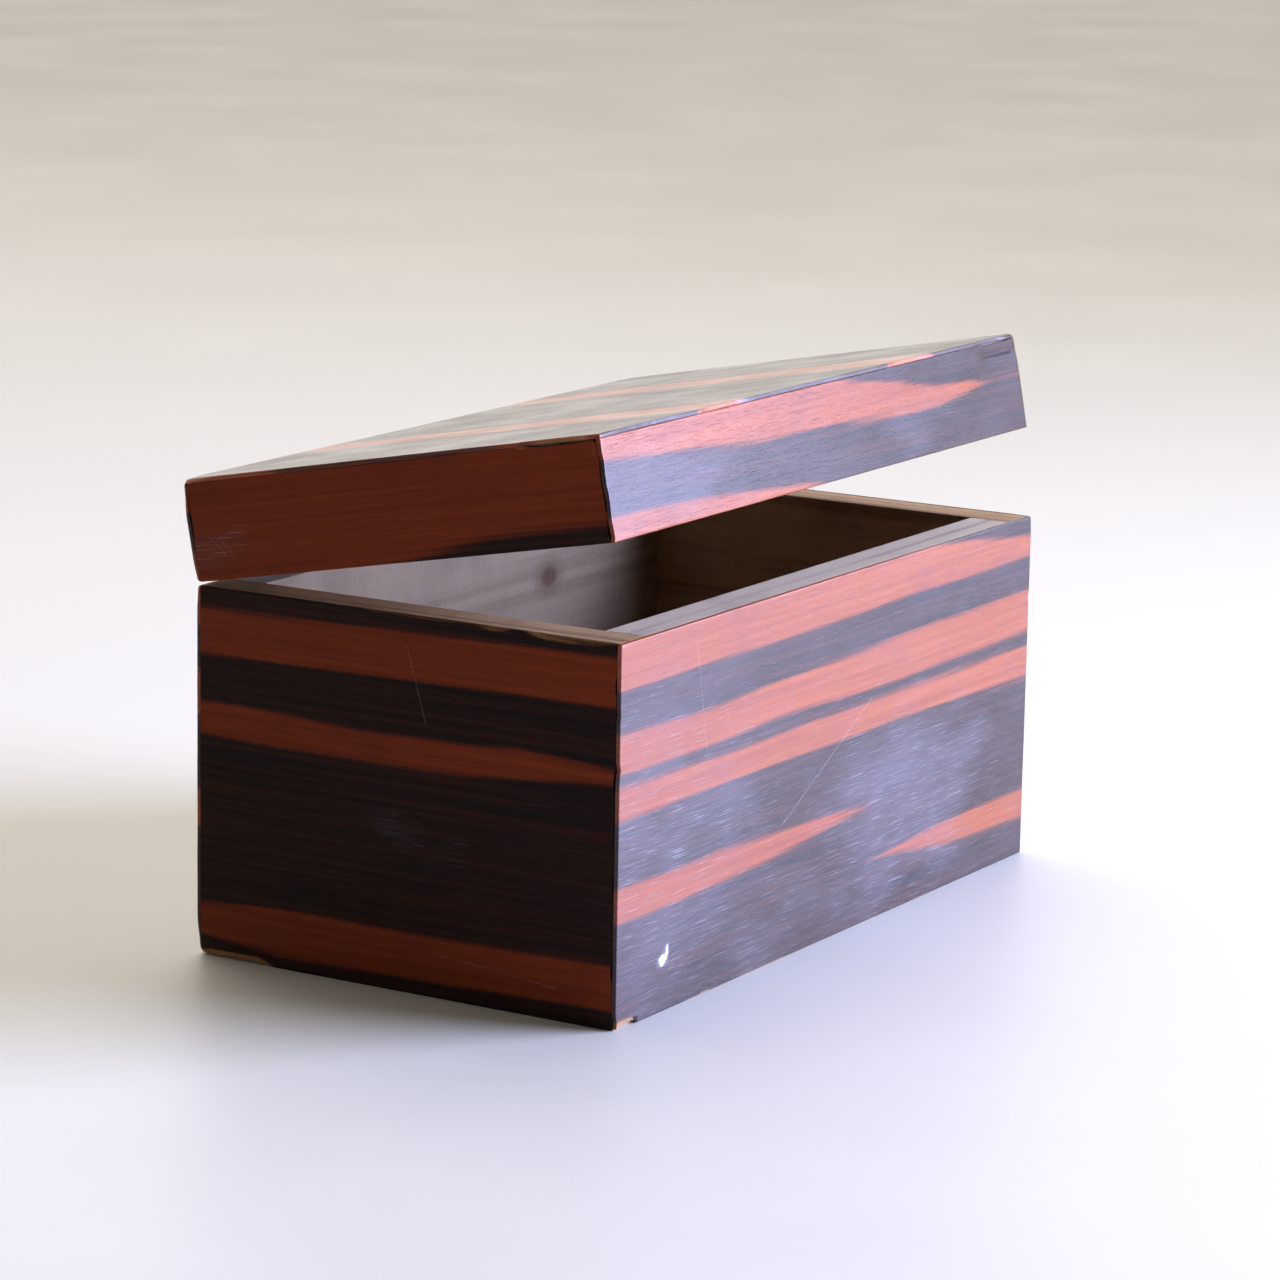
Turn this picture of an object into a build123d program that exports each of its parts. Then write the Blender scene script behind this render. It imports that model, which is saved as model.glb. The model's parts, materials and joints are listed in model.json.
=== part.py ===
from build123d import *
from math import radians, tan
import os

# A tea caddy: a veneered softwood box, sawn open into a lower box and a hollow lid that turns on two
# brass butt hinges let into the back. The lid stands ajar, held by its stiff hinges.
# Frame: origin on the floor under the middle of the box, +X along the front to the right, -Y to the
# front, +Z up. Millimetres and degrees.

# ---- driving dimensions: the box ----
box_length = 190.0  # outside, left to right
box_depth = 110.0  # outside, front to back
box_height = 84.0  # lower box, floor to rim
lid_height = 23.0  # lid, rim to top
board = 10.0  # wall boards and lid rails
bottom_board = 8.0
lid_board = 7.0
veneer = 1.0  # sawn veneer, on every outside face but the underside
seam_gap = 0.3  # between the two rims with the lid shut
ajar_angle = 11.0  # how far open the lid stands

# ---- driving dimensions: the hinges ----
hinge_length = 25.0
hinge_inset = 27.5  # from the end of the box to the near end of a hinge
leaf_width = 9.0  # from the pin's centre to the leaf's inner edge
leaf_thickness = 1.2
knuckle_count = 5  # the first and last belong to the box leaf
knuckle_radius = 1.8
knuckle_gap = 0.2
pin_radius = 0.9
pin_clearance = 0.05  # radial, in the lid's knuckles, which turn on the pin
barrel_gap = 0.4  # between a barrel and the back board, through the veneer's notch
swing_clearance = 0.3  # round a barrel that turns

# ---- driving dimensions: the fastenings ----
screws_per_leaf = 3
screw_pitch = 8.5
screw_radius = 0.9
screw_head_radius = 1.7
screw_length = 7.0
screw_angle = 90.0  # countersink
screw_slot_width = 0.45
screw_slot_depth = 0.3
brad_radius = 0.7
brad_head_radius = 1.1
brad_head = 0.8
brad_length = 22.0
corner_brads = 3  # up each corner of the box
lid_corner_brads = 2  # up each corner of the lid
long_edge_brads = 4  # along each long edge of the bottom and of the lid's top board
end_edge_brads = 1  # along each short edge, between the corners
brad_screw_gap = 1.0  # wood between the lid's top brads and the tips of the hinge screws

# ---- worked out ----
carcass_length = box_length - 2 * veneer
carcass_depth = box_depth - 2 * veneer
inner_length = carcass_length - 2 * board
wall_height = box_height - bottom_board
rail_height = lid_height - lid_board - veneer
lid_rim = box_height + seam_gap
board_x = carcass_length / 2 - board / 2  # middle of an end board
board_y = carcass_depth / 2 - board / 2  # middle of a front or back board
veneer_x = box_length / 2 - veneer / 2
veneer_y = box_depth / 2 - veneer / 2
pin_setback = knuckle_radius + barrel_gap - veneer  # the pin's centre, behind the back face
pin_y = box_depth / 2 + pin_setback
pin_z = box_height + seam_gap / 2
hinge_x = box_length / 2 - hinge_inset - hinge_length / 2
knuckle_length = (hinge_length - (knuckle_count - 1) * knuckle_gap) / knuckle_count
screw_setback = (leaf_width + knuckle_radius + swing_clearance) / 2
screw_head = (screw_head_radius - screw_radius) / tan(radians(screw_angle / 2))  # its depth
lid_brad_length = lid_board + rail_height - screw_length - brad_screw_gap
knuckle_notch = knuckle_radius + swing_clearance
SIDES = {"left": -1, "right": 1}
FACES = {"front": -1, "back": 1}
BOX_KNUCKLES = range(0, knuckle_count, 2)
LID_KNUCKLES = range(1, knuckle_count, 2)

# The lid's own frame, turned about the pin to where the lid stands.
LID_TURN = Pos(0, pin_y, pin_z) * Rot(-ajar_angle, 0, 0) * Pos(0, -pin_y, -pin_z)


def box_frame(plane):
    """A plane of the lower box stays where it is."""
    return plane


def lid_frame(plane):
    """A plane of the shut lid, carried round to where the lid stands ajar."""
    return Plane(LID_TURN * plane.location)


def save(piece, name):
    """Label a finished piece and write it as its own node."""
    piece.part.label = name
    export_step(piece.part, f"parts/{name}.step")


def slab(place, x, y, length, depth, bottom, height):
    """A plain board or sheet: its middle in plan, its plan sizes, its underside and its height."""
    with BuildSketch(place(Plane.XY.offset(bottom))) as outline:
        with Locations((x, y)):
            Rectangle(length, depth)
    extrude(outline.sketch, amount=height)


def evenly(count, span):
    """Places for count things spread evenly over a span, half a pitch in from each end."""
    return [span * ((n + 0.5) / count - 0.5) for n in range(count)]


# ---- where the hinges and fastenings go ----
def leaf_seat(place, side):
    """The plane in which a leaf lies: the pin is its X axis and +Z points out of the wood."""
    up = 1 if place is box_frame else -1
    return place(Plane(origin=(side * hinge_x, pin_y, pin_z), x_dir=(up, 0, 0), z_dir=(0, 0, up)))


def screw_places(place, side):
    """The middles of the screw heads of one leaf, each looking out of the wood."""
    face = leaf_seat(place, side).offset(-seam_gap / 2)
    first = -screw_pitch * (screws_per_leaf - 1) / 2
    return [face.location * Pos(first + n * screw_pitch, -screw_setback, 0) for n in range(screws_per_leaf)]


def all_screw_places(place):
    """Every screw of one half of the caddy."""
    return [spot for side in SIDES.values() for spot in screw_places(place, side)]


def corner_brad_places(place, bottom, height, count):
    """Brads through the end boards into the ends of the front and back boards."""
    spots = []
    for side in SIDES.values():
        for face in FACES.values():
            for z in evenly(count, height):
                origin = (side * carcass_length / 2, face * board_y, bottom + height / 2 + z)
                spots.append(place(Plane(origin=origin, x_dir=(0, 1, 0), z_dir=(side, 0, 0))).location)
    return spots


def edge_brad_places(place, z, up):
    """Brads through the bottom, or through the lid's top board, into the edges of the walls."""
    spots = []
    for face in FACES.values():
        for x in evenly(long_edge_brads, inner_length):
            spots.append((x, face * board_y))
    for side in SIDES.values():
        for y in evenly(end_edge_brads, carcass_depth - 2 * board):
            spots.append((side * board_x, y))
    return [place(Plane(origin=(x, y, z), x_dir=(1, 0, 0), z_dir=(0, 0, up))).location for x, y in spots]


BOX_CORNER_BRADS = corner_brad_places(box_frame, bottom_board, wall_height, corner_brads)
LID_CORNER_BRADS = corner_brad_places(lid_frame, lid_rim, rail_height, lid_corner_brads)
BOX_EDGE_BRADS = edge_brad_places(box_frame, 0, -1)
LID_EDGE_BRADS = edge_brad_places(lid_frame, lid_rim + rail_height + lid_board, 1)
TOP = (Align.CENTER, Align.CENTER, Align.MAX)


def drive_brads(places, length, mode):
    """Brads with small round heads, set flush at the places given; or the holes that they fill."""
    with Locations(*places):
        Cylinder(brad_radius, length, align=TOP, mode=mode)
        Cylinder(brad_head_radius, brad_head, align=TOP, mode=mode)


def cut_leaf_pockets(place):
    """Pockets in a back board's rim for the two leaves, and pilot holes for their screws."""
    for side in SIDES.values():
        with BuildSketch(leaf_seat(place, side).offset(-seam_gap / 2)) as pocket:
            Rectangle(hinge_length, leaf_width, align=(Align.CENTER, Align.MAX))
        extrude(pocket.sketch, amount=-leaf_thickness, mode=Mode.SUBTRACT)
    with Locations(*all_screw_places(place)):
        Cylinder(screw_radius, screw_length, align=TOP, mode=Mode.SUBTRACT)


def cut_knuckle_notches(place):
    """Notches through the back veneer's edge, in which the two barrels turn."""
    for side in SIDES.values():
        with BuildSketch(leaf_seat(place, side)) as notch:
            Rectangle(hinge_length + 2 * swing_clearance, 2 * (pin_setback + veneer))
        extrude(notch.sketch, amount=-knuckle_notch, mode=Mode.SUBTRACT)


os.makedirs("parts", exist_ok=True)

# ---- lower box: the carcass boards. The end boards run through, front and back stand between ----
with BuildPart() as box_bottom_board:
    slab(box_frame, 0, 0, carcass_length, carcass_depth, 0, bottom_board)
    drive_brads(BOX_EDGE_BRADS, brad_length, Mode.SUBTRACT)
save(box_bottom_board, "box_bottom_board")

for name, side in SIDES.items():
    with BuildPart() as box_end_board:
        slab(box_frame, side * board_x, 0, board, carcass_depth, bottom_board, wall_height)
        drive_brads(BOX_CORNER_BRADS, brad_length, Mode.SUBTRACT)
        drive_brads(BOX_EDGE_BRADS, brad_length, Mode.SUBTRACT)
    save(box_end_board, f"box_{name}_end_board")

for name, face in FACES.items():
    with BuildPart() as box_long_board:
        slab(box_frame, 0, face * board_y, inner_length, board, bottom_board, wall_height)
        drive_brads(BOX_CORNER_BRADS, brad_length, Mode.SUBTRACT)
        drive_brads(BOX_EDGE_BRADS, brad_length, Mode.SUBTRACT)
        if name == "back":
            cut_leaf_pockets(box_frame)
    save(box_long_board, f"box_{name}_board")

# ---- lower box: the veneers. Front and back lap over the edges of the end veneers ----
for name, side in SIDES.items():
    with BuildPart() as box_end_veneer:
        slab(box_frame, side * veneer_x, 0, veneer, carcass_depth, 0, box_height)
    save(box_end_veneer, f"box_{name}_end_veneer")

for name, face in FACES.items():
    with BuildPart() as box_long_veneer:
        slab(box_frame, 0, face * veneer_y, box_length, veneer, 0, box_height)
        if name == "back":
            cut_knuckle_notches(box_frame)
    save(box_long_veneer, f"box_{name}_veneer")

with BuildPart() as box_corner_brads:
    drive_brads(BOX_CORNER_BRADS, brad_length, Mode.ADD)
save(box_corner_brads, "box_corner_brads")

with BuildPart() as box_bottom_brads:
    drive_brads(BOX_EDGE_BRADS, brad_length, Mode.ADD)
save(box_bottom_brads, "box_bottom_brads")

# ---- lid: four rails under a top board, all turned to where the lid stands ----
for name, side in SIDES.items():
    with BuildPart() as lid_end_rail:
        slab(lid_frame, side * board_x, 0, board, carcass_depth, lid_rim, rail_height)
        drive_brads(LID_CORNER_BRADS, brad_length, Mode.SUBTRACT)
        drive_brads(LID_EDGE_BRADS, lid_brad_length, Mode.SUBTRACT)
    save(lid_end_rail, f"lid_{name}_end_rail")

for name, face in FACES.items():
    with BuildPart() as lid_long_rail:
        slab(lid_frame, 0, face * board_y, inner_length, board, lid_rim, rail_height)
        drive_brads(LID_CORNER_BRADS, brad_length, Mode.SUBTRACT)
        drive_brads(LID_EDGE_BRADS, lid_brad_length, Mode.SUBTRACT)
        if name == "back":
            cut_leaf_pockets(lid_frame)
    save(lid_long_rail, f"lid_{name}_rail")

with BuildPart() as lid_top_board:
    slab(lid_frame, 0, 0, carcass_length, carcass_depth, lid_rim + rail_height, lid_board)
    drive_brads(LID_EDGE_BRADS, lid_brad_length, Mode.SUBTRACT)
save(lid_top_board, "lid_top_board")

# ---- lid: the veneers. The top sheet covers the upper edges of the four side strips ----
for name, side in SIDES.items():
    with BuildPart() as lid_end_veneer:
        slab(lid_frame, side * veneer_x, 0, veneer, carcass_depth, lid_rim, lid_height - veneer)
    save(lid_end_veneer, f"lid_{name}_end_veneer")

for name, face in FACES.items():
    with BuildPart() as lid_long_veneer:
        slab(lid_frame, 0, face * veneer_y, box_length, veneer, lid_rim, lid_height - veneer)
        if name == "back":
            cut_knuckle_notches(lid_frame)
    save(lid_long_veneer, f"lid_{name}_veneer")

with BuildPart() as lid_top_veneer:
    slab(lid_frame, 0, 0, box_length, box_depth, lid_rim + lid_height - veneer, veneer)
save(lid_top_veneer, "lid_top_veneer")

with BuildPart() as lid_corner_brads_group:
    drive_brads(LID_CORNER_BRADS, brad_length, Mode.ADD)
save(lid_corner_brads_group, "lid_corner_brads")

with BuildPart() as lid_top_brads:
    drive_brads(LID_EDGE_BRADS, lid_brad_length, Mode.ADD)
save(lid_top_brads, "lid_top_brads")


# ---- hinges: a plate with its own knuckles, cut away for the other leaf's knuckles ----
def knuckle_start(number):
    """Where a knuckle begins along the pin, from the middle of the hinge."""
    return -hinge_length / 2 + number * (knuckle_length + knuckle_gap)


def build_leaf(seat, own, others, bore_radius, screws):
    """One leaf in the part being built, on its seat."""
    across = Plane(origin=seat.origin, x_dir=seat.y_dir, z_dir=seat.x_dir)
    with BuildSketch(seat.offset(-seam_gap / 2)) as plate:
        Rectangle(hinge_length, leaf_width, align=(Align.CENTER, Align.MAX))
        with Locations(*[(knuckle_start(n) + knuckle_length / 2, 0) for n in others]):
            Rectangle(
                knuckle_length + 2 * knuckle_gap,
                knuckle_notch,
                align=(Align.CENTER, Align.MAX),
                mode=Mode.SUBTRACT,
            )
    extrude(plate.sketch, amount=-leaf_thickness)
    for number in own:
        with BuildSketch(across.offset(knuckle_start(number))) as knuckle:
            Circle(knuckle_radius)
        extrude(knuckle.sketch, amount=knuckle_length)
    with BuildSketch(across.offset(-hinge_length / 2)) as bore:
        Circle(bore_radius)
    extrude(bore.sketch, amount=hinge_length, mode=Mode.SUBTRACT)
    with Locations(*screws):
        CounterSinkHole(screw_radius, screw_head_radius, leaf_thickness, screw_angle)


for name, side in SIDES.items():
    with BuildPart() as box_leaf:
        build_leaf(
            leaf_seat(box_frame, side),
            BOX_KNUCKLES,
            LID_KNUCKLES,
            pin_radius,
            screw_places(box_frame, side),
        )
    save(box_leaf, f"{name}_hinge_box_leaf")

    with BuildPart() as lid_leaf:
        build_leaf(
            leaf_seat(lid_frame, side),
            LID_KNUCKLES,
            BOX_KNUCKLES,
            pin_radius + pin_clearance,
            screw_places(lid_frame, side),
        )
    save(lid_leaf, f"{name}_hinge_lid_leaf")

    with BuildPart() as hinge_pin:
        with BuildSketch(Plane.YZ.offset(side * hinge_x - hinge_length / 2)):
            with Locations((pin_y, pin_z)):
                Circle(pin_radius)
        extrude(amount=hinge_length)
    save(hinge_pin, f"{name}_hinge_pin")


# ---- countersunk slotted screws, six to each half ----
def drive_screws(places):
    """Screws in the part being built, heads flush with the leaves."""
    with Locations(*places):
        Cylinder(screw_radius, screw_length, align=TOP)
        Cone(screw_radius, screw_head_radius, screw_head, align=TOP)
        Box(2 * screw_head_radius, screw_slot_width, screw_slot_depth, align=TOP, mode=Mode.SUBTRACT)


with BuildPart() as box_hinge_screws:
    drive_screws(all_screw_places(box_frame))
save(box_hinge_screws, "box_hinge_screws")

with BuildPart() as lid_hinge_screws:
    drive_screws(all_screw_places(lid_frame))
save(lid_hinge_screws, "lid_hinge_screws")
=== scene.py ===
import json
from math import cos, exp, pi, radians, sin

import bpy
from mathutils import Euler, Matrix, Vector, noise


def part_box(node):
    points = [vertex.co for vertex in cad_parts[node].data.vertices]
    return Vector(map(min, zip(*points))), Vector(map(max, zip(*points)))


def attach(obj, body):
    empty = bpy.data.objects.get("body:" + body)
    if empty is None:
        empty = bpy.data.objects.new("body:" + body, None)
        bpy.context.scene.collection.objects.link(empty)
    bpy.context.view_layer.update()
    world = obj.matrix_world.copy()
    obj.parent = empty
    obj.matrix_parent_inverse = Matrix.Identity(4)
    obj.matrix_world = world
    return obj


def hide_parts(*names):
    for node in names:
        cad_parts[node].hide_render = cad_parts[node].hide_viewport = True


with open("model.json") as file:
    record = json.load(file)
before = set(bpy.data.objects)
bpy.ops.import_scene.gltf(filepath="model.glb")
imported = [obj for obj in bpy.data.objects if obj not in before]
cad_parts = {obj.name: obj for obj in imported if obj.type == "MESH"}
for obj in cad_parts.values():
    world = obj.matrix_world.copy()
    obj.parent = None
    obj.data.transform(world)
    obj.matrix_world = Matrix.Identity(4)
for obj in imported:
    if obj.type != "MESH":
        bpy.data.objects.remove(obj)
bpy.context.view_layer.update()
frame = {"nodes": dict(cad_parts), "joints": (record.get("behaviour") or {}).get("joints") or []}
MM = 0.001


# ---- The box's boards ----
# Two end boards run the full depth, with the front and back boards butted between them and all four
# standing on the bottom board. They are sawn softwood, 10 mm thick, and bare inside and along the rim.
def add(tree, kind, inputs=(), **settings):
    """Add a node: its inputs in order or by name, linked or set, and its settings. Gives its outputs."""
    made = tree.nodes.new("ShaderNode" + kind)
    for name, value in settings.items():
        setattr(made, name, value)
    pairs = inputs.items() if isinstance(inputs, dict) else enumerate(inputs)
    for socket, value in pairs:
        if isinstance(value, bpy.types.NodeSocket):
            tree.links.new(value, made.inputs[socket])
        elif value is not None:
            made.inputs[socket].default_value = value
    return made.outputs


def stretched(tree, place, scale, detail=3.0, rough=0.55, shift=(0, 0, 0)):
    """Cloudy variation with its own number of waves to the unit along each axis, centred on nought."""
    mapped = add(tree, "Mapping", {"Vector": place, "Location": shift, "Scale": scale})
    cloud = add(tree, "TexNoise", {"Vector": mapped[0], "Scale": 1.0, "Detail": detail, "Roughness": rough})
    return add(tree, "Math", (cloud[0], 0.5), operation="SUBTRACT")[0]


def ramp(tree, value, start, end, low=0.0, high=1.0):
    """A smooth rise from one value to another."""
    return add(tree, "MapRange", (value, start, end, low, high), interpolation_type="SMOOTHSTEP")[0]


def combine(tree, operation, first, second):
    """Two values worked into one."""
    return add(tree, "Math", (first, second), operation=operation)[0]


def blend(tree, share, first, second, kind="MIX"):
    """Two colours mixed."""
    return add(tree, "MixRGB", (share, first, second), blend_type=kind)[0]


def finish_material(material, colour, roughness, height, depth):
    """Join a colour, a roughness and a bump of some depth in metres to the material's shader."""
    tree = material.node_tree
    shader = tree.nodes["Principled BSDF"]
    raised = add(tree, "Bump", {"Strength": 1.0, "Distance": depth, "Height": height})[0]
    tree.links.new(colour, shader.inputs["Base Color"])
    tree.links.new(roughness, shader.inputs["Roughness"])
    tree.links.new(raised, shader.inputs["Normal"])
    return shader


def pine(name, grain_axis, knot=None, tone=(1, 1, 1), sheen=0.14, rings=1.0, shine=0.5):
    """Old bare softwood with its grain along one axis: growth bands, fuzzy sawn fibres and saw marks."""
    material = bpy.data.materials.new(name)
    material.use_nodes = True
    tree = material.node_tree
    place = add(tree, "TexCoord")["Object"]

    def along_grain(length, width, height=None):
        scale = [width, width, height or width]
        scale[grain_axis] = length
        return scale

    wander = stretched(tree, place, along_grain(14, 30))
    bands = stretched(tree, place, along_grain(3, 210), detail=2.0)
    bands = combine(tree, "ADD", bands, combine(tree, "MULTIPLY", wander, 0.5))
    fibres = stretched(tree, place, along_grain(130, 3200), detail=4.0, rough=0.7)
    patches = stretched(tree, place, (35, 35, 35), detail=4.0)
    saw = stretched(tree, place, along_grain(900, 60), detail=2.0)
    late = ramp(tree, bands, -0.02, 0.16, 0.0, rings)
    colour = blend(tree, late, (0.40, 0.285, 0.180, 1), (0.215, 0.128, 0.070, 1))
    # The tone scales the wood's colour. It paints shade on the cross-grain pine and light on the long-grain pine.
    colour = blend(tree, 1.0, colour, (*tone, 1), "MULTIPLY")
    fuzzy = ramp(tree, fibres, -0.25, 0.3)
    colour = blend(tree, combine(tree, "MULTIPLY", fuzzy, 0.45), colour, (0.46, 0.37, 0.27, 1))
    handled = ramp(tree, patches, -0.05, 0.28)
    colour = blend(tree, combine(tree, "MULTIPLY", handled, 0.5), colour, (0.14, 0.09, 0.055, 1))
    height = combine(tree, "ADD", fibres, combine(tree, "MULTIPLY", saw, 0.6))
    if knot:
        from_knot = add(tree, "VectorMath", (place, knot), operation="SUBTRACT")[0]
        from_knot = add(tree, "VectorMath", (from_knot, (290, 60, 410)), operation="MULTIPLY")[0]
        distance = add(tree, "VectorMath", (from_knot,), operation="LENGTH")["Value"]
        distance = combine(tree, "ADD", distance, combine(tree, "MULTIPLY", patches, 0.5))
        colour = blend(tree, ramp(tree, distance, 2.6, 1.0, 0.0, 0.55), colour, (0.19, 0.105, 0.055, 1))
        colour = blend(tree, ramp(tree, distance, 1.3, 0.6, 0.0, 0.85), colour, (0.120, 0.050, 0.020, 1))
    roughness = ramp(tree, fibres, -0.3, 0.3, 0.72, 0.92)
    shader = finish_material(material, colour, roughness, height, 0.00022)
    shader.inputs["Sheen Weight"].default_value = sheen
    shader.inputs["Sheen Roughness"].default_value = 0.5
    shader.inputs["Specular IOR Level"].default_value = shine
    return material


def grid_lines(low, high, step, near):
    """Places for grid lines from one side to the other, close together near both edges."""
    near = [d for d in near if d < (high - low) / 2.2]
    inner = high - low - 2 * near[-1]
    count = max(1, round(inner / step))
    middle = [near[-1] + inner * k / count for k in range(1, count)]
    return [low + d for d in near + middle] + [high - d for d in reversed(near)]


def slab(lines, cut=None):
    """A closed slab as points and faces, its sides all grids. Cells whose middle is in the cut are left out."""
    found, points, faces = {}, [], []

    def corner(*key):
        if key not in found:
            found[key] = len(points)
            points.append(Vector([lines[k][key[k]] for k in range(3)]))
        return found[key]

    def filled(i, j):
        if not (0 <= i < len(lines[0]) - 1 and 0 <= j < len(lines[1]) - 1):
            return False
        middle = [(lines[k][n] + lines[k][n + 1]) / 2 for k, n in ((0, i), (1, j))]
        return not (cut and cut(*middle))

    top = len(lines[2]) - 1
    for i in range(len(lines[0]) - 1):
        for j in range(len(lines[1]) - 1):
            if not filled(i, j):
                continue
            ring = ((i, j), (i + 1, j), (i + 1, j + 1), (i, j + 1))
            faces.append([corner(p, q, top) for p, q in ring])
            faces.append([corner(p, q, 0) for p, q in reversed(ring)])
            beside = ((i, j - 1), (i + 1, j), (i, j + 1), (i - 1, j))
            for side in range(4):
                if filled(*beside[side]):
                    continue
                (p, q), (r, s) = ring[side], ring[(side + 1) % 4]
                for k in range(top):
                    faces.append([corner(p, q, k), corner(r, s, k), corner(r, s, k + 1), corner(p, q, k + 1)])
    return points, faces


def soften(point, low, high, radius):
    """A point moved in where it stands outside a block with rounded edges."""
    core = Vector([min(max(point[k], low[k] + radius), high[k] - radius) for k in range(3)])
    out = point - core
    return core + out * (radius / out.length) if out.length > radius else point


def worn_in(point, low, high, corners):
    """A point moved in to the handled outside of the box or lid, whose worn corners are rounder."""
    radius = 0.28
    for spot, reach, extra in corners:
        near = (point - Vector(spot)).length / reach
        if near < 1:
            radius += extra * (1 - near * near) ** 2
    radius += 0.10 * noise.noise(point * 0.11)
    return soften(point, low, high, radius)


def make_piece(name, points, faces, material, slot, body, node, place=None, **fields):
    """A mesh piece from points in mm, with its material, riding on a body in place of a CAD node."""
    mesh = bpy.data.meshes.new(name)
    mesh.from_pydata([p * MM for p in points], [], faces)
    for field, values in fields.items():
        wide = hasattr(values[0], "__len__")
        made = mesh.attributes.new(field, "FLOAT_VECTOR" if wide else "FLOAT", "POINT")
        flat = [part for value in values for part in value] if wide else values
        made.data.foreach_set("vector" if wide else "value", flat)
    mesh.shade_smooth()
    mesh.materials.append(material)
    piece = bpy.data.objects.new(name, mesh)
    bpy.context.scene.collection.objects.link(piece)
    if place:
        piece.matrix_world = place
    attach(piece, body)
    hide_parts(node)
    return piece


noise.seed_set(4)
BOX_LOW = Vector((-95, -55, 0))
BOX_HIGH = Vector((95, 55, 84))
BOX_CORNERS = (((-95, 55, 0), 9, 1.6), ((-95, 55, 84), 6, 0.5), ((-95, -55, 84), 5, 0.35),
               ((95, -55, 84), 5, 0.4), ((-95, -55, 0), 5, 0.5), ((95, 55, 0), 6, 0.7))
# The cross-grain pine of the end boards and lid end rails is darkened and made browner. This is partly its own colour
# and partly painted shade for the shaded rims and inner ends. The long-grain pine of the other boards is brightened
# as painted light for the lit front rim.
pine_along_painted_light = pine("sawn_pine_along", 0, tone=(1.15, 1.13, 1.10))
pine_across_painted_shade = pine("sawn_pine_across", 1, tone=(1.02, 0.80, 0.55), sheen=0.0, shine=0.10)
BOARD_NEAR = [0, 0.12, 0.3, 0.7]
for node, material in (("box_left_end_board", pine_across_painted_shade), ("box_right_end_board", pine_across_painted_shade),
                       ("box_front_board", pine_along_painted_light), ("box_bottom_board", pine_along_painted_light)):
    low, high = [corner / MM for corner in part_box(node)]
    points, faces = slab([grid_lines(low[k], high[k], 3.0, BOARD_NEAR) for k in range(3)])
    shaped = []
    for point in points:
        uneven = 0.05 * noise.noise_vector(point * 0.06) + 0.03 * noise.noise_vector(point * 0.9)
        inward = Vector([-abs(uneven[k]) if point[k] > (low[k] + high[k]) / 2 else abs(uneven[k])
                         for k in range(3)])
        point = soften(point + inward, low, high, 0.3)
        shaped.append(worn_in(point, BOX_LOW, BOX_HIGH, BOX_CORNERS))
    make_piece(node.replace("_board", "_plank"), shaped, faces, material, "carcass_pine", "box", node)

# The back board keeps its sawn faces, with the pockets cut for the hinge leaves. A knot shows inside it.
back_low, back_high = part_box("box_back_board")
knot_place = (0.033, back_low.y, back_high.z - 0.0167)
frame["nodes"]["box_back_board"].data.materials.clear()
frame["nodes"]["box_back_board"].data.materials.append(pine("sawn_pine_knotty", 0, knot_place, rings=0.55))


# ---- The veneer on the box ----
# Four sheets of sawn striped ebony, 1 mm thick, glued to the boards with the grain running level. The
# front and back sheets lap over the edges of the end sheets, and all are polished with shellac.
def scratch(tree, place, start, end, width):
    """A thin line on the surface from one place to another, in metres, one on the line and nought off it."""
    start, end = Vector(start), Vector(end)
    run = end - start
    from_start = add(tree, "VectorMath", (place, start), operation="SUBTRACT")[0]
    share = add(tree, "VectorMath", (from_start, run / run.length_squared), operation="DOT_PRODUCT")["Value"]
    share = add(tree, "Clamp", (share,))[0]
    nearest = add(tree, "VectorMath", {"Vector": run, "Scale": share}, operation="SCALE")[0]
    aside = add(tree, "VectorMath", (from_start, nearest), operation="DISTANCE")["Value"]
    return ramp(tree, aside, width, width * 0.35)


SCRATCHES = (((-0.025, -0.055, 0.031), (0.016, -0.055, 0.053)), ((-0.064, -0.055, 0.082), (-0.0585, -0.055, 0.054)),
             ((-0.095, -0.001, 0.077), (-0.095, -0.006, 0.0605)),
             ((-0.095, -0.0085, 0.010), (-0.095, -0.040, 0.0072)),
             ((-0.095, 0.050, 0.0945), (-0.095, 0.0455, 0.0895)), ((-0.095, 0.0475, 0.095), (-0.095, 0.0435, 0.0885)),
             ((0.030, 0.0550, 0.060), (0.062, 0.0550, 0.035)), ((0.095, -0.020, 0.052), (0.095, 0.012, 0.040)))


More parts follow.
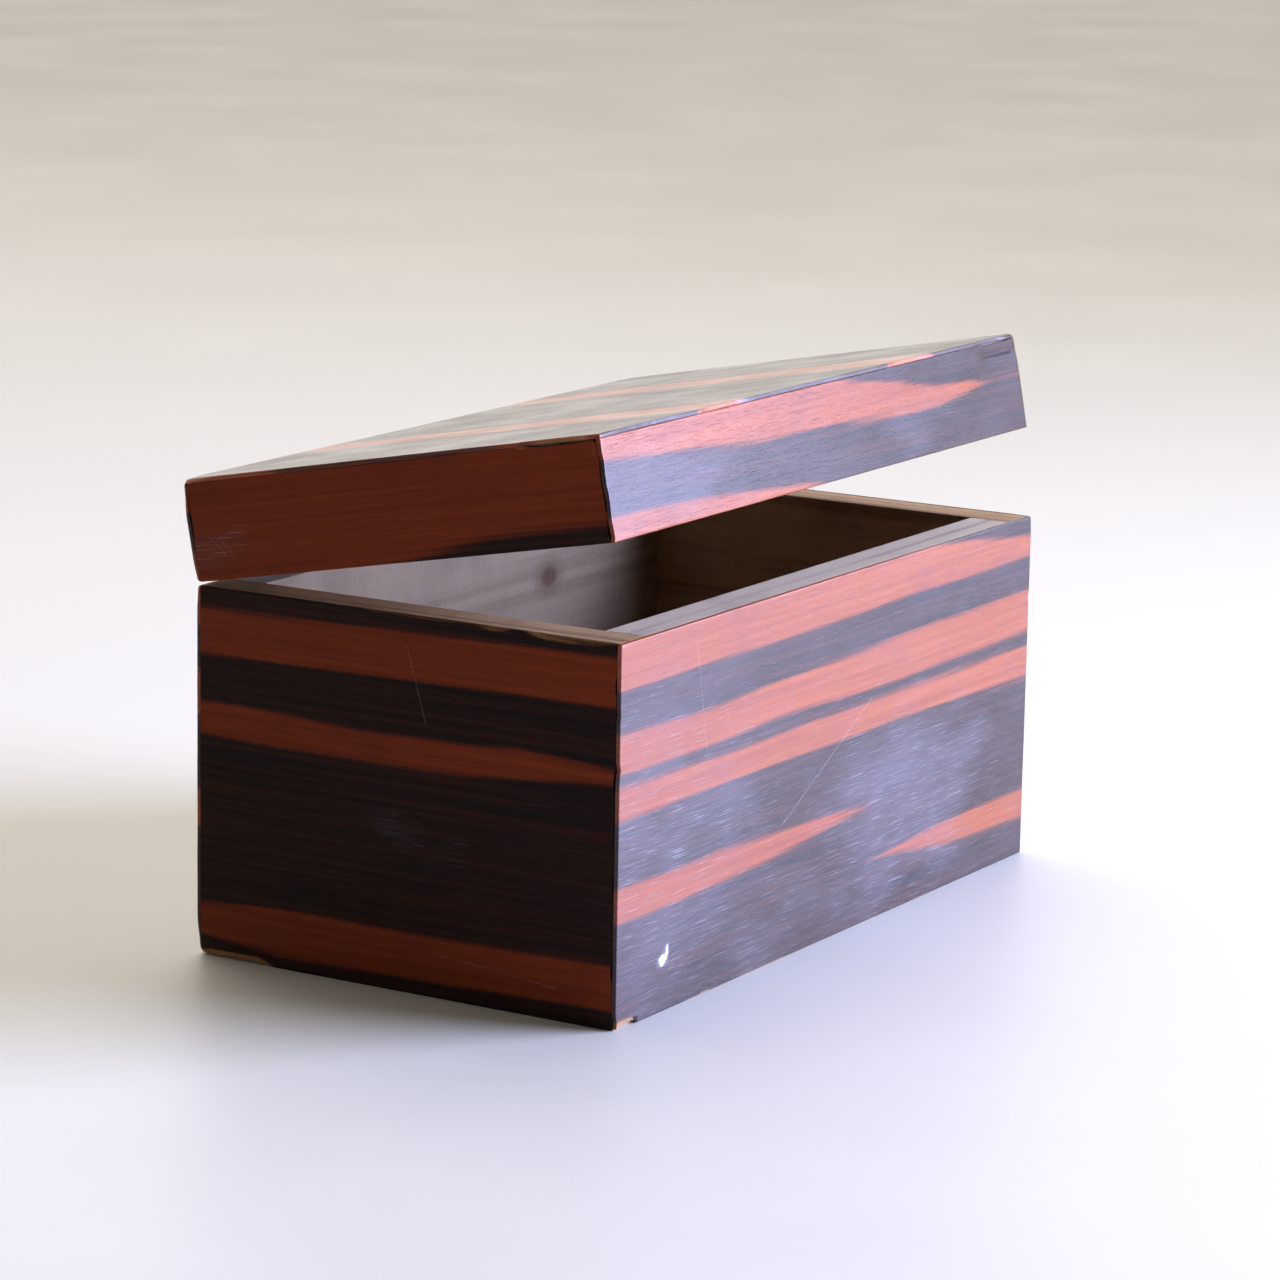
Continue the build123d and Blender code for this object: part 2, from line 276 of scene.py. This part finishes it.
def striped_ebony(name, shine, smooth, painted_shade=(1, 1, 1, 1)):
    """Red-brown heartwood between near-black bands, with pores, polish, bare wood, dirt and a white fleck. The
    whitish haze is partly real and partly a painted reflection, the pale glints are partly a painted highlight, the
    dark marks at a chip are partly painted shade, and the whole colour can be darkened as painted shade.
    """
    material = bpy.data.materials.new(name)
    material.use_nodes = True
    tree = material.node_tree
    place = add(tree, "TexCoord")["Object"]
    grain = add(tree, "Attribute", attribute_name="grain")["Vector"]
    light = add(tree, "Attribute", attribute_name="light")["Fac"]
    marks = add(tree, "SeparateXYZ", (add(tree, "Attribute", attribute_name="marks")["Vector"],))
    streaks = stretched(tree, grain, (0.012, 0.80, 0.80), detail=3.0)
    fine = stretched(tree, grain, (0.035, 4.2, 4.2), detail=4.0, rough=0.65, shift=(7, 3, 1))
    pores = stretched(tree, grain, (0.15, 6.2, 6.2), detail=1.0, shift=(2, 9, 4))
    glints = stretched(tree, grain, (0.10, 5.6, 5.6), detail=1.5, shift=(31, 5, 2))
    cloud = stretched(tree, grain, (0.05, 0.07, 0.07), detail=4.0, shift=(1, 1, 5))
    edge = combine(tree, "ADD", light, combine(tree, "MULTIPLY", fine, 2.0))
    edge = combine(tree, "ADD", edge, combine(tree, "MULTIPLY", streaks, 1.3))
    lightness = ramp(tree, edge, -0.95, 0.65)
    red = blend(tree, ramp(tree, streaks, -0.25, 0.25), (0.215, 0.038, 0.0075, 1), (0.310, 0.068, 0.0150, 1))
    red = blend(tree, ramp(tree, fine, 0.0, 0.35, 0.0, 0.30), red, (0.120, 0.018, 0.005, 1))
    red = blend(tree, ramp(tree, cloud, 0.0, 0.3, 0.0, 0.45), red, (0.150, 0.024, 0.007, 1))
    black = blend(tree, ramp(tree, streaks, -0.16, 0.24), (0.0065, 0.0028, 0.0022, 1), (0.044, 0.0125, 0.0050, 1))
    black = blend(tree, ramp(tree, fine, 0.02, 0.30, 0.0, 0.5), black, (0.060, 0.0180, 0.0080, 1))
    colour = blend(tree, lightness, black, red)
    open_pores = ramp(tree, pores, 0.11, 0.19)
    colour = blend(tree, combine(tree, "MULTIPLY", open_pores, 0.30), colour, (0.012, 0.005, 0.004, 1))
    # Scaling the whole colour darker paints shade on the copy for the shaded end sheets.
    colour = blend(tree, 1.0, colour, painted_shade, "MULTIPLY")
    # Pale dashes on the glints are partly a pale deposit in the pores and partly a painted highlight. The baseline on
    # the lit front faces makes them strong.
    dust = ramp(tree, marks[2], 0.0, 1.0, 0.04, 0.60)
    pale_glints = ramp(tree, glints, 0.12, 0.21)
    colour = blend(tree, combine(tree, "MULTIPLY", pale_glints, dust), colour, (0.46, 0.42, 0.45, 1))
    # A whitish-lilac haze is partly real haze on the shellac and partly a painted reflection of the bluish window
    # light. It is weaker on the light bands.
    bloom_and_reflection = combine(tree, "ADD", marks[2], combine(tree, "MULTIPLY", cloud, 0.7))
    bloom_and_reflection = combine(tree, "ADD", bloom_and_reflection, combine(tree, "MULTIPLY", fine, 0.9))
    bloom_and_reflection = combine(tree, "ADD", bloom_and_reflection, combine(tree, "MULTIPLY", glints, 0.8))
    bloom_and_reflection = ramp(tree, bloom_and_reflection, 0.2, 1.3, 0.0, 0.40)
    bloom_and_reflection = combine(tree, "MULTIPLY", bloom_and_reflection, ramp(tree, lightness, 0, 1, 1.0, 0.5))
    colour = blend(tree, bloom_and_reflection, colour, (0.25, 0.23, 0.29, 1))
    worn = combine(tree, "ADD", marks[0], combine(tree, "MULTIPLY", fine, 0.9))
    worn = ramp(tree, combine(tree, "ADD", worn, combine(tree, "MULTIPLY", cloud, 0.9)), 0.36, 0.95)
    colour = blend(tree, combine(tree, "MULTIPLY", worn, 0.85), colour, (0.42, 0.185, 0.070, 1))
    # Near-black marks show dirt along joints and edges. At the lid end's chipped top edge they also paint the shade
    # in the crack.
    grime_and_crack_shade = combine(tree, "ADD", marks[1], combine(tree, "MULTIPLY", fine, 0.8))
    grime_and_crack_shade = ramp(tree, grime_and_crack_shade, 0.35, 0.75)
    colour = blend(tree, grime_and_crack_shade, colour, (0.005, 0.004, 0.0035, 1))
    dented = None
    for start, end in SCRATCHES:
        line = scratch(tree, place, start, end, 0.00024)
        dented = combine(tree, "MAXIMUM", dented, line) if dented else line
    dented = combine(tree, "MULTIPLY", dented, ramp(tree, glints, -0.18, 0.06))
    colour = blend(tree, combine(tree, "MULTIPLY", dented, 0.14), colour, (0.42, 0.34, 0.32, 1))
    blots = stretched(tree, grain, (0.55, 0.55, 0.55), detail=2.0)
    ragged = combine(tree, "ADD", combine(tree, "MULTIPLY", blots, 2.8), 1.0)
    fleck = ramp(tree, combine(tree, "MULTIPLY", marks[2], ragged), 1.5, 1.7)
    colour = blend(tree, fleck, colour, (0.80, 0.80, 0.80, 1))
    roughness = ramp(tree, cloud, -0.25, 0.25, smooth, smooth + 0.11)
    dull = combine(tree, "ADD", combine(tree, "MULTIPLY", worn, 0.3), combine(tree, "MULTIPLY", bloom_and_reflection, 0.3))
    dull = combine(tree, "ADD", dull, combine(tree, "MULTIPLY", grime_and_crack_shade, 0.35))
    roughness = combine(tree, "ADD", roughness, dull)
    height = combine(tree, "MULTIPLY", fine, 0.6)
    height = combine(tree, "SUBTRACT", height, combine(tree, "MULTIPLY", open_pores, 0.4))
    height = combine(tree, "ADD", height, combine(tree, "MULTIPLY", pale_glints, 1.1))
    height = combine(tree, "SUBTRACT", height, dented)
    shader = finish_material(material, colour, roughness, height, 0.000032)
    shader.inputs["IOR"].default_value = 1.48
    shader.inputs["Specular IOR Level"].default_value = shine
    shader.inputs["Specular Tint"].default_value = (1.0, 0.86, 0.88, 1)
    return material


def face(origin, along, down):
    """The place of one veneered face: its top left corner, along it, down it, and out of it."""
    along, down = Vector(along), Vector(down)
    axes = (along, down, down.cross(along), Vector(origin))
    return Matrix([[axis[k] for axis in axes] for k in range(3)] + [[0, 0, 0, 1]])


def in_band(along, down, bands):
    """How many mm a place lies inside the nearest light band, below nought outside. A band is a list of
    places along the sheet, each with the heights of the band's upper and lower edge."""
    deepest = -9.0
    for band in bands:
        here = band[0] if along <= band[0][0] else band[-1]
        for before, after in zip(band, band[1:]):
            if before[0] < along < after[0]:
                share = (along - before[0]) / (after[0] - before[0])
                here = [p + (q - p) * share for p, q in zip(before, after)]
        deepest = max(deepest, min(down - here[1], here[2] - down))
    return deepest


def in_spots(along, down, spots, firm=1.8):
    """How strongly a place is marked by soft oval spots: middle, half length, half height, strength."""
    mark = 0.0
    for middle, height, wide, tall, strength in spots:
        inside = 1 - ((along - middle) / wide) ** 2 - ((down - height) / tall) ** 2
        if inside > 0:
            mark = max(mark, strength * min(1, firm * inside))
    return mark


SHEET_NEAR = [0, 0.05, 0.13, 0.3, 0.6, 1.0]


def veneer(name, node, body, place, bands, chips=(), worn=(), grimy=(), hazy=(), flaked=(), cut=None,
           envelope=None, turn=None, node_box=None, edge_wear=0.25, step=1.1, crisp=1.0, rounded=(),
           dusty=0.0, finish=None):
    """One sheet of veneer. Chips are bites out of an edge: side, middle, half length and depth. Flakes are
    shallow losses on the face: an oval and a depth. Rounded corners are a place and a radius."""
    back = place.inverted()
    ends = [back @ corner for corner in (node_box or [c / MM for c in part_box(node)])]
    low = Vector(map(min, *ends))
    high = Vector(map(max, *ends))
    lines = [grid_lines(low[0], high[0], step, SHEET_NEAR), grid_lines(low[1], high[1], step, SHEET_NEAR),
             grid_lines(low[2], high[2], 0.3, SHEET_NEAR[:4])]
    for axis, places in (cut[1] if cut else {}).items():
        lines[axis] = sorted(lines[axis] + list(places))
    points, faces = slab(lines, cut and cut[0])
    handed = place.to_3x3().determinant() < 0
    if handed:
        faces = [ring[::-1] for ring in faces]
    shaped, grains, lights, marked = [], [], [], []
    for point in points:
        u, v, w = point
        seed = Vector((u * 0.05, v * 0.05, len(name)))
        wander = 0.45 * noise.noise(Vector((u * 0.025, v * 0.06, 3.7 + len(name))))
        drift = 16 * noise.noise_vector(Vector((u * 0.05, v * 0.11, 5.5)))
        if max([0] + [spot[4] for spot in hazy if abs(spot[0] - u) < 5 and abs(spot[1] - v) < 4]) > 2:
            drift = Vector((0, 0, 0))
        gap = min(u - low[0], high[0] - u, v - low[1], high[1] - v)
        lights.append(crisp * in_band(u, v + wander, bands))
        grains.append((u + 211 * len(name), v + wander + 31 * len(bands), w))
        rubbed = edge_wear * max(0, 1 - gap / 0.9) * (1 + 0.6 * noise.noise(Vector((u * 0.12, v * 0.12, 9))))
        # The third mark carries the haze spots and a baseline. These are partly real haze and deposit and partly
        # painted reflection and painted highlight. The strongest spots make a white fleck.
        marked.append((max(in_spots(u, v, worn), rubbed), in_spots(u, v, grimy),
                       max(dusty, in_spots(u + drift.x, v + 0.5 * drift.y, hazy, 1.1))))
        point = soften(point, low, high, 0.13)
        for side, middle, half, depth in chips:
            level = side in ("top", "bottom")
            t = ((u if level else v) - middle) / half
            if abs(t) >= 1:
                continue
            if level:
                inward = v - low[1] if side == "top" else high[1] - v
            else:
                inward = u - low[0] if side == "left" else high[0] - u
            fade = max(0, 1 - inward / max(5, 2.5 * depth)) ** 2
            ragged = 1 + 0.45 * noise.noise(Vector((u * 0.9, v * 0.9, 2.0)))
            push = depth * min(1, 2.2 * (1 - abs(t))) * fade * ragged
            way = 1 if side in ("top", "left") else -1
            point[1 if level else 0] += way * push
        for corner_u, corner_v, radius in rounded:
            core = Vector((min(max(u, corner_u - radius), corner_u + radius),
                           min(max(v, corner_v - radius), corner_v + radius), 0))
            centre = Vector((corner_u + (radius if corner_u < low[0] + 9 else -radius),
                             corner_v + (radius if corner_v < low[1] + 9 else -radius)))
            out = Vector((point[0], point[1])) - centre
            toward = (out[0] * (corner_u - centre[0]) > 0) and (out[1] * (corner_v - centre[1]) > 0)
            if toward and out.length > radius and core.xy == Vector((u, v)):
                point[0], point[1] = centre + out * (radius / out.length)
        lost = 0.0
        for middle, height, wide, tall, depth in flaked:
            inside = 1 - ((u - middle) / wide) ** 2 - ((v - height) / tall) ** 2
            if inside > 0:
                lost = max(lost, depth * min(1, 3 * inside))
        lift = 0.035 * abs(noise.noise(seed * 1.3)) + lost
        if w > low[2] + 0.5:
            point[2] -= min(lift, (high[2] - low[2]) * 0.8) * (w - low[2] - 0.5) / (high[2] - low[2] - 0.5)
        at = place @ point
        shaped.append(worn_in(at, *envelope))
    return make_piece(name, shaped, faces, finish or ebony, "ebony_veneer", body, node, turn,
                      grain=grains, light=lights, marks=marked)


ebony = striped_ebony("striped_ebony", 0.5, 0.36)
# The copy for the end sheets has less gloss, and its colour is darkened and browned as painted shade.
dull_shaded_ebony = striped_ebony("striped_ebony_dull_shaded", 0.13, 0.38, (0.68, 0.46, 0.32, 1))
BOX_SHAPE = (BOX_LOW, BOX_HIGH, BOX_CORNERS)
FRONT = face((-95, -55, 84), (1, 0, 0), (0, 0, -1))
LEFT_END = face((-95, 55, 84), (0, -1, 0), (0, 0, -1))
RIGHT_END = face((95, -55, 84), (0, 1, 0), (0, 0, -1))
BACK = face((95, 55, 84), (-1, 0, 0), (0, 0, -1))

veneer("left_end_ebony", "box_left_end_veneer", "box", LEFT_END,
       [[(0, 5.0, 14.6), (47, 4.0, 14.1), (110, 3.1, 13.7)],
        [(0, 26.0, 33.0), (14, 26.0, 33.4), (47, 27.2, 33.4), (72, 26.6, 33.1), (85, 25.9, 32.2),
         (97, 26.5, 31.0), (112, 27.6, 29.8)],
        [(0, 72.0, 79.0), (22, 70.4, 81.0), (47, 70.4, 80.6), (110, 70.4, 79.4)]],
       chips=[("top", 98, 12, 0.45), ("bottom", 10, 12, 0.7), ("right", 30, 2.5, 0.35), ("right", 9, 2, 0.3),
              ("right", 52, 2, 0.25), ("right", 71, 2.5, 0.3)],
       worn=[(97, 0, 14, 1.5, 0.62), (78, 0, 6, 1.1, 0.55), (10, 84, 13, 2.0, 0.85), (60, 0, 22, 0.7, 0.5)],
       grimy=[(109, 42, 0.35, 44, 0.95)],
       hazy=[(50, 47, 15, 5, 0.38), (63, 50, 12, 4, 0.3)], rounded=[(1, 84, 2.2)], envelope=BOX_SHAPE, finish=dull_shaded_ebony)
veneer("right_end_ebony", "box_right_end_veneer", "box", RIGHT_END,
       [[(0, 4.7, 9.4), (50, 4.0, 11.0), (110, 5.5, 12.5)], [(0, 24.0, 31.0), (60, 25.5, 32.5), (110, 24.5, 31.0)],
        [(0, 68.5, 75.0), (55, 70.0, 78.0), (110, 71.0, 78.5)]],
       chips=[("bottom", 98, 8, 0.6)], worn=[(104, 84, 8, 2, 0.8), (30, 0, 20, 0.8, 0.6)],
       hazy=[(60, 50, 30, 16, 0.5)], envelope=BOX_SHAPE, finish=dull_shaded_ebony)
veneer("front_ebony", "box_front_veneer", "box", FRONT,
       [[(0, -1, 9.7), (63, -1, 10.0), (127, -1, 9.7), (138, -0.3, 9.7), (190, 4.7, 9.2)],
        [(0, 19.7, 28.3), (42, 20.8, 28.0), (63, 20.0, 27.8), (127, 18.7, 28.8), (190, 18.5, 28.3)],
        [(0, 31.3, 38.3), (63, 32.0, 37.8), (127, 31.7, 38.0), (190, 32.0, 39.7)],
        [(0, 53.3, 60.3), (42, 53.3, 60.3), (63, 54.2, 59.7), (90, 55.2, 58.0), (122, 57.2, 55.6)],
        [(104, 70.6, 68.4), (122, 69.2, 70.4), (147, 68.2, 73.0), (190, 68.0, 75.0)]],
       chips=[("bottom", 4, 5, 1.1), ("left", 83, 2.5, 0.5), ("left", 27, 1.5, 0.4), ("bottom", 38, 3, 0.4),
              ("left", 15, 1.2, 0.3), ("right", 20, 1.5, 0.5)],
       worn=[(2, 84, 9, 1.6, 0.85), (60, 84, 40, 0.7, 0.6)],
       grimy=[(8, 83.4, 1.4, 1.3, 0.9), (0, 42, 0.25, 44, 0.42)],
       # The large haze spots and the baseline below are partly real haze and partly a painted reflection of the
       # window, seen as a bluish sheen. The two small strong spots make a white fleck.
       hazy=[(128, 59, 58, 37, 0.66), (60, 74, 44, 18, 0.42), (10, 44, 80, 60, 0.62), (19.2, 72.5, 2.7, 1.8, 2.4), (20.6, 70.8, 1.4, 2.0, 2.4)],
       dusty=0.24,
       envelope=BOX_SHAPE)
HINGE_PLACES = (-55, 55)
NOTCH = 25.6 / 2


def knuckle_notch(edges):
    """What is left out of a back sheet for the hinge knuckles, and the grid lines that it needs."""
    top, bottom = edges
    sides = [95 - x + way * NOTCH for x in HINGE_PLACES for way in (-1, 1)]

    def inside(u, v):
        return top < v < bottom and (sides[0] < u < sides[1] or sides[2] < u < sides[3])

    return inside, {0: sides, 1: [edge for edge in edges if 0 < edge < 23 or edge == 2.1]}


veneer("back_ebony", "box_back_veneer", "box", BACK,
       [[(0, -1, 8.0), (90, -1, 9.5), (190, -1, 8.5)], [(0, 19.5, 27.0), (80, 21.0, 27.5), (190, 19.0, 28.5)],
        [(0, 45.0, 53.0), (110, 47.0, 52.5), (190, 46.0, 54.5)], [(0, 69.0, 75.0), (70, 70.0, 74.0), (116, 72.5, 71.5)]],
       worn=[(2, 84, 8, 1.6, 0.8), (188, 84, 8, 2.2, 0.9)], hazy=[(60, 40, 50, 20, 0.5)],
       cut=knuckle_notch((-1, 2.1)), envelope=BOX_SHAPE)

# ---- The lid's boards ----
# Four low rails and a thin top board, the same softwood as the box. Box and lid were glued up and
# veneered as one closed case, and the lid was then sawn off, so the two rims match.
hinge = frame["joints"][0]
pin = Vector(hinge["pos_m"])
ajar = radians(hinge["range_deg"][0])
lid_turn = Matrix.Translation(pin) @ Matrix.Rotation(ajar, 4, "X") @ Matrix.Translation(-pin)
shut = lid_turn.inverted()


def shut_box(node):
    """The lowest and highest corner of a lid part in mm, as it lies with the lid shut."""
    places = [shut @ vertex.co / MM for vertex in frame["nodes"][node].data.vertices]
    return [Vector([pick(place[k] for place in places) for k in range(3)]) for pick in (min, max)]


lid_low, lid_high = Vector((-95, -55, 84.3)), Vector((95, 55, 107.3))
LID_CORNERS = (((-95, 55, 107.3), 9, 1.5), ((-95, 55, 84.3), 5, 0.6), ((-95, -55, 107.3), 4, 0.3),
               ((95, -55, 107.3), 8, 1.0), ((95, 55, 107.3), 6, 0.8))
for node, material in (("lid_left_end_rail", pine_across_painted_shade), ("lid_right_end_rail", pine_across_painted_shade),
                       ("lid_front_rail", pine_along_painted_light), ("lid_top_board", pine_along_painted_light)):
    low, high = shut_box(node)
    points, faces = slab([grid_lines(low[k], high[k], 3.0, BOARD_NEAR) for k in range(3)])
    shaped = []
    for point in points:
        uneven = 0.05 * noise.noise_vector(point * 0.06) + 0.03 * noise.noise_vector(point * 0.9)
        inward = Vector([-abs(uneven[k]) if point[k] > (low[k] + high[k]) / 2 else abs(uneven[k])
                         for k in range(3)])
        point = soften(point + inward, low, high, 0.3)
        shaped.append(worn_in(point, lid_low, lid_high, LID_CORNERS))
    name = node.replace("_rail", "_lath").replace("_board", "_plank")
    make_piece(name, shaped, faces, material, "carcass_pine", "lid", node, lid_turn)
frame["nodes"]["lid_back_rail"].data.materials.clear()
frame["nodes"]["lid_back_rail"].data.materials.append(pine_along_painted_light)

# ---- The veneer on the lid ----
# The same striped ebony. The lid's top sheet runs front to back and covers the edges of the four side
# sheets. Its front edge is chipped, and a strip of the front sheet has split near the right corner.
LID_SHAPE = (lid_low, lid_high, LID_CORNERS)
UP = Vector((0, 0, 23.3))
LID_FRONT, LID_LEFT, LID_RIGHT, LID_BACK = [Matrix.Translation(UP) @ side for side in
                                            (FRONT, LEFT_END, RIGHT_END, BACK)]
LID_TOP = face((-95, -55, 107.3), (0, 1, 0), (1, 0, 0))


def lid_veneer(name, node, place, bands, **features):
    """One sheet of the lid's veneer, made as the shut lid lies and then opened with it."""
    return veneer(name, node, "lid", place, bands, envelope=LID_SHAPE, turn=lid_turn,
                  node_box=shut_box(node), **features)


lid_veneer("lid_left_ebony", "lid_left_end_veneer", LID_LEFT,
           [[(0, -1, 25), (50, -1, 24.5), (56, -1, 23.0), (72, -1, 19.7), (85, -1, 18.5), (110, -1, 17.8)]],
           chips=[("top", 100, 10, 0.35), ("right", 12, 6, 0.25), ("right", 20, 2, 0.3), ("left", 9, 5, 0.25)],
           worn=[(90, 1.2, 2.0, 0.6, 0.6), (108, 3, 0.8, 2, 0.5), (7, 16, 3.0, 2.2, 0.4)],
           # The black mark at the top chip also paints the shade in the crack.
           grimy=[(52, 1, 37, 0.5, 0.5), (99, 0.8, 10, 0.5, 0.8), (1, 11, 0.4, 12, 0.7)], hazy=[(8, 15, 9, 6, 0.6)], crisp=0.42,
           rounded=[(109, 1, 1.8), (1, 1, 1.6)], finish=dull_shaded_ebony)
lid_veneer("lid_right_ebony", "lid_right_end_veneer", LID_RIGHT,
           [[(0, 6.5, 10.0), (50, 5.0, 11.0), (110, 6.0, 12.5)]], worn=[(108, 10, 2, 10, 0.6)], hazy=[(50, 12, 40, 8, 0.4)], finish=dull_shaded_ebony)
lid_veneer("lid_front_ebony", "lid_front_veneer", LID_FRONT,
           [[(0, -1, 5.8), (38, -1, 8.0), (63, -1, 9.7), (97, 0.4, 10.5), (110, 2.2, 11.3), (130, 5.0, 12.0),
             (147, 7.5, 12.0), (163, 8.6, 10.8), (174, 10.3, 9.6)],
            [(0, 18.0, 25), (38, 19.0, 25), (63, 20.5, 25), (86, 22.6, 25), (100, 25, 24)]],
           chips=[("left", 14, 3, 0.3), ("left", 21, 2, 0.3), ("left", 6, 2, 0.25), ("top", 180, 9, 0.3)],
           worn=[(1, 22.5, 3, 1.2, 0.5)],
           grimy=[(0, 11, 0.25, 13, 0.5), (180, 4.2, 10, 0.4, 0.9)],
           # The haze spots and the baseline are partly real haze and partly a painted reflection of the window.
           hazy=[(135, 14, 40, 9, 0.36), (20, 14, 50, 14, 0.6)], flaked=[(181, 4.2, 10, 0.6, 0.35)], dusty=0.2,
           finish=striped_ebony("striped_ebony_polished", 0.28, 0.26))
lid_veneer("lid_back_ebony", "lid_back_veneer", LID_BACK,
           [[(0, 17.0, 25), (90, 18.0, 25), (190, 16.5, 25)], [(0, 3.0, 7.0), (100, 2.5, 8.0), (190, 4.0, 7.5)]],
           worn=[(188, 12, 2, 10, 0.7)], hazy=[(80, 12, 60, 8, 0.4)], cut=knuckle_notch((20.9, 24)))
lid_veneer("lid_top_ebony", "lid_top_veneer", LID_TOP,
           [[(0, 40.5, 60.0), (55, 41.5, 58.5), (110, 43.0, 57.0)], [(0, 126.0, 147.5), (60, 127.0, 146.0), (110, 129.0, 144.5)],
            [(0, -1, 0.7), (110, -1, 0.9)]],
           chips=[("left", 20, 13, 0.5), ("left", 52, 10, 0.7), ("left", 137, 9, 0.5), ("left", 177, 8, 0.5),
                  ("top", 12, 9, 0.5), ("left", 85, 20, 0.25)],
           worn=[(0, 50, 1.0, 9, 0.7), (0, 137, 1.0, 10, 0.7), (109, 20, 1.5, 20, 0.7), (10, 0, 9, 1.2, 0.8)],
           grimy=[(0, 20, 0.8, 20, 0.4), (55, 0, 40, 0.7, 0.6)], hazy=[(50, 90, 50, 70, 0.35)])


# ---- Brads, hinges and screws ----
# Fine steel brads hold the boards, punched in under the veneer. Two small brass butt hinges at the back,
# each of two leaves let into the wood round a drawn pin, are held by slotted countersunk screws.
def old_metal(name, bright, dull, spread, low, high):
    """A metal gone dull with age: brighter where it is rubbed, darker and rougher in cloudy patches."""
    material = bpy.data.materials.new(name)
    material.use_nodes = True
    tree = material.node_tree
    place = add(tree, "TexCoord")["Object"]
    cloud = stretched(tree, place, (spread, spread, spread), detail=5.0)
    brushed = stretched(tree, place, (250, 5200, 5200), detail=2.0)
    tarnish = ramp(tree, combine(tree, "ADD", cloud, combine(tree, "MULTIPLY", brushed, 0.4)), -0.14, 0.2)
    colour = blend(tree, tarnish, bright, dull)
    shader = finish_material(material, colour, ramp(tree, tarnish, 0, 1, low, high), brushed, 0.00002)
    shader.inputs["Metallic"].default_value = 1.0
    return material


aged_brass = old_metal("aged_brass", (0.40, 0.265, 0.10, 1), (0.13, 0.080, 0.034, 1), 240, 0.34, 0.58)
old_steel = old_metal("old_steel", (0.30, 0.28, 0.26, 1), (0.10, 0.055, 0.035, 1), 500, 0.45, 0.75)
for name, part in frame["nodes"].items():
    metal = old_steel if "brads" in name else aged_brass if "hinge" in name else None
    if metal:
        part.data.materials.clear()
        part.data.materials.append(metal)

# ---- The table, the room and the eye ----
# A plain pale table top, wide enough to fill the view behind the caddy. One broad, low window on the
# right rakes along the front; the room to the left is dim, so the left end stays in soft shade.
table = bpy.data.meshes.new("table_top")
table.from_pydata([(-9, -9, 0), (9, -9, 0), (9, 9, 0), (-9, 9, 0)], [], [(0, 1, 2, 3)])
table_top = bpy.data.objects.new("table_top", table)
bpy.context.scene.collection.objects.link(table_top)
pale_table = bpy.data.materials.new("pale_table")
pale_table.use_nodes = True
tree = pale_table.node_tree
cloud = stretched(tree, add(tree, "TexCoord")["Object"], (9, 9, 9))
table_colour = blend(tree, ramp(tree, cloud, -0.3, 0.3), (0.62, 0.58, 0.505, 1), (0.655, 0.615, 0.54, 1))
finish_material(pale_table, table_colour, ramp(tree, cloud, -0.3, 0.3, 0.46, 0.52), cloud, 0.00001)
table.materials.append(pale_table)

room = bpy.data.worlds.new("room")
room.use_nodes = True
bpy.context.scene.world = room
facing = add(room.node_tree, "TexCoord")["Generated"]
pale_side = add(room.node_tree, "VectorMath", (facing, (0.62, 0.78, 0.0)), operation="DOT_PRODUCT")["Value"]
dim_to_pale = add(room.node_tree, "MapRange", (pale_side, -0.2, 0.8, 0.02, 1.0))[0]
height_seen = add(room.node_tree, "SeparateXYZ", (facing,))[2]
pale_wall = add(room.node_tree, "MapRange", (height_seen, 0.10, 0.55, 3.1, 0.75))[0]
dim_to_pale = combine(room.node_tree, "MULTIPLY", dim_to_pale, pale_wall)
room_light = room.node_tree.nodes["Background"]
room_light.inputs["Color"].default_value = (1.0, 0.95, 0.89, 1)
room.node_tree.links.new(dim_to_pale, room_light.inputs["Strength"])


def window(name, spot, aim, width, height, power, colour, spread=180):
    """A soft rectangular light at a spot, facing what it is aimed at, spreading over so many degrees."""
    pane = bpy.data.lights.new(name, "AREA")
    pane.shape = "RECTANGLE"
    pane.size, pane.size_y = width, height
    pane.energy = power
    pane.color = colour
    pane.spread = radians(spread)
    hung = bpy.data.objects.new(name, pane)
    bpy.context.scene.collection.objects.link(hung)
    hung.location = spot
    hung.rotation_euler = (Vector(aim) - Vector(spot)).to_track_quat("-Z", "Y").to_euler()


window("window_light", (0.72, -1.22, 0.40), (-0.26, -0.055, 0.05), 1.1, 1.0, 42, (0.53, 0.62, 1.0), 100)
window("ceiling_light", (0.5, 0.5, 1.7), (0.1, 0.1, 0), 1.2, 1.2, 15, (1.0, 0.98, 0.96))

# The eye is on the left, a little above the lid, looking across the near left corner.
YAW, PITCH, ROLL = radians(58.90), radians(11.69), radians(1.03)
eye = bpy.data.cameras.new("eye")
eye.sensor_width = 36
eye.lens = 134.0
eye.clip_end = 100
camera = bpy.data.objects.new("eye", eye)
bpy.context.scene.collection.objects.link(camera)
turn = Euler((pi / 2 - PITCH, 0, -YAW)).to_matrix() @ Matrix.Rotation(ROLL, 3, "Z")
camera.matrix_world = Matrix.Translation((-0.9270, -0.5613, 0.2867)) @ turn.to_4x4()
bpy.context.scene.camera = camera
bpy.context.scene.view_settings.view_transform = "Standard"
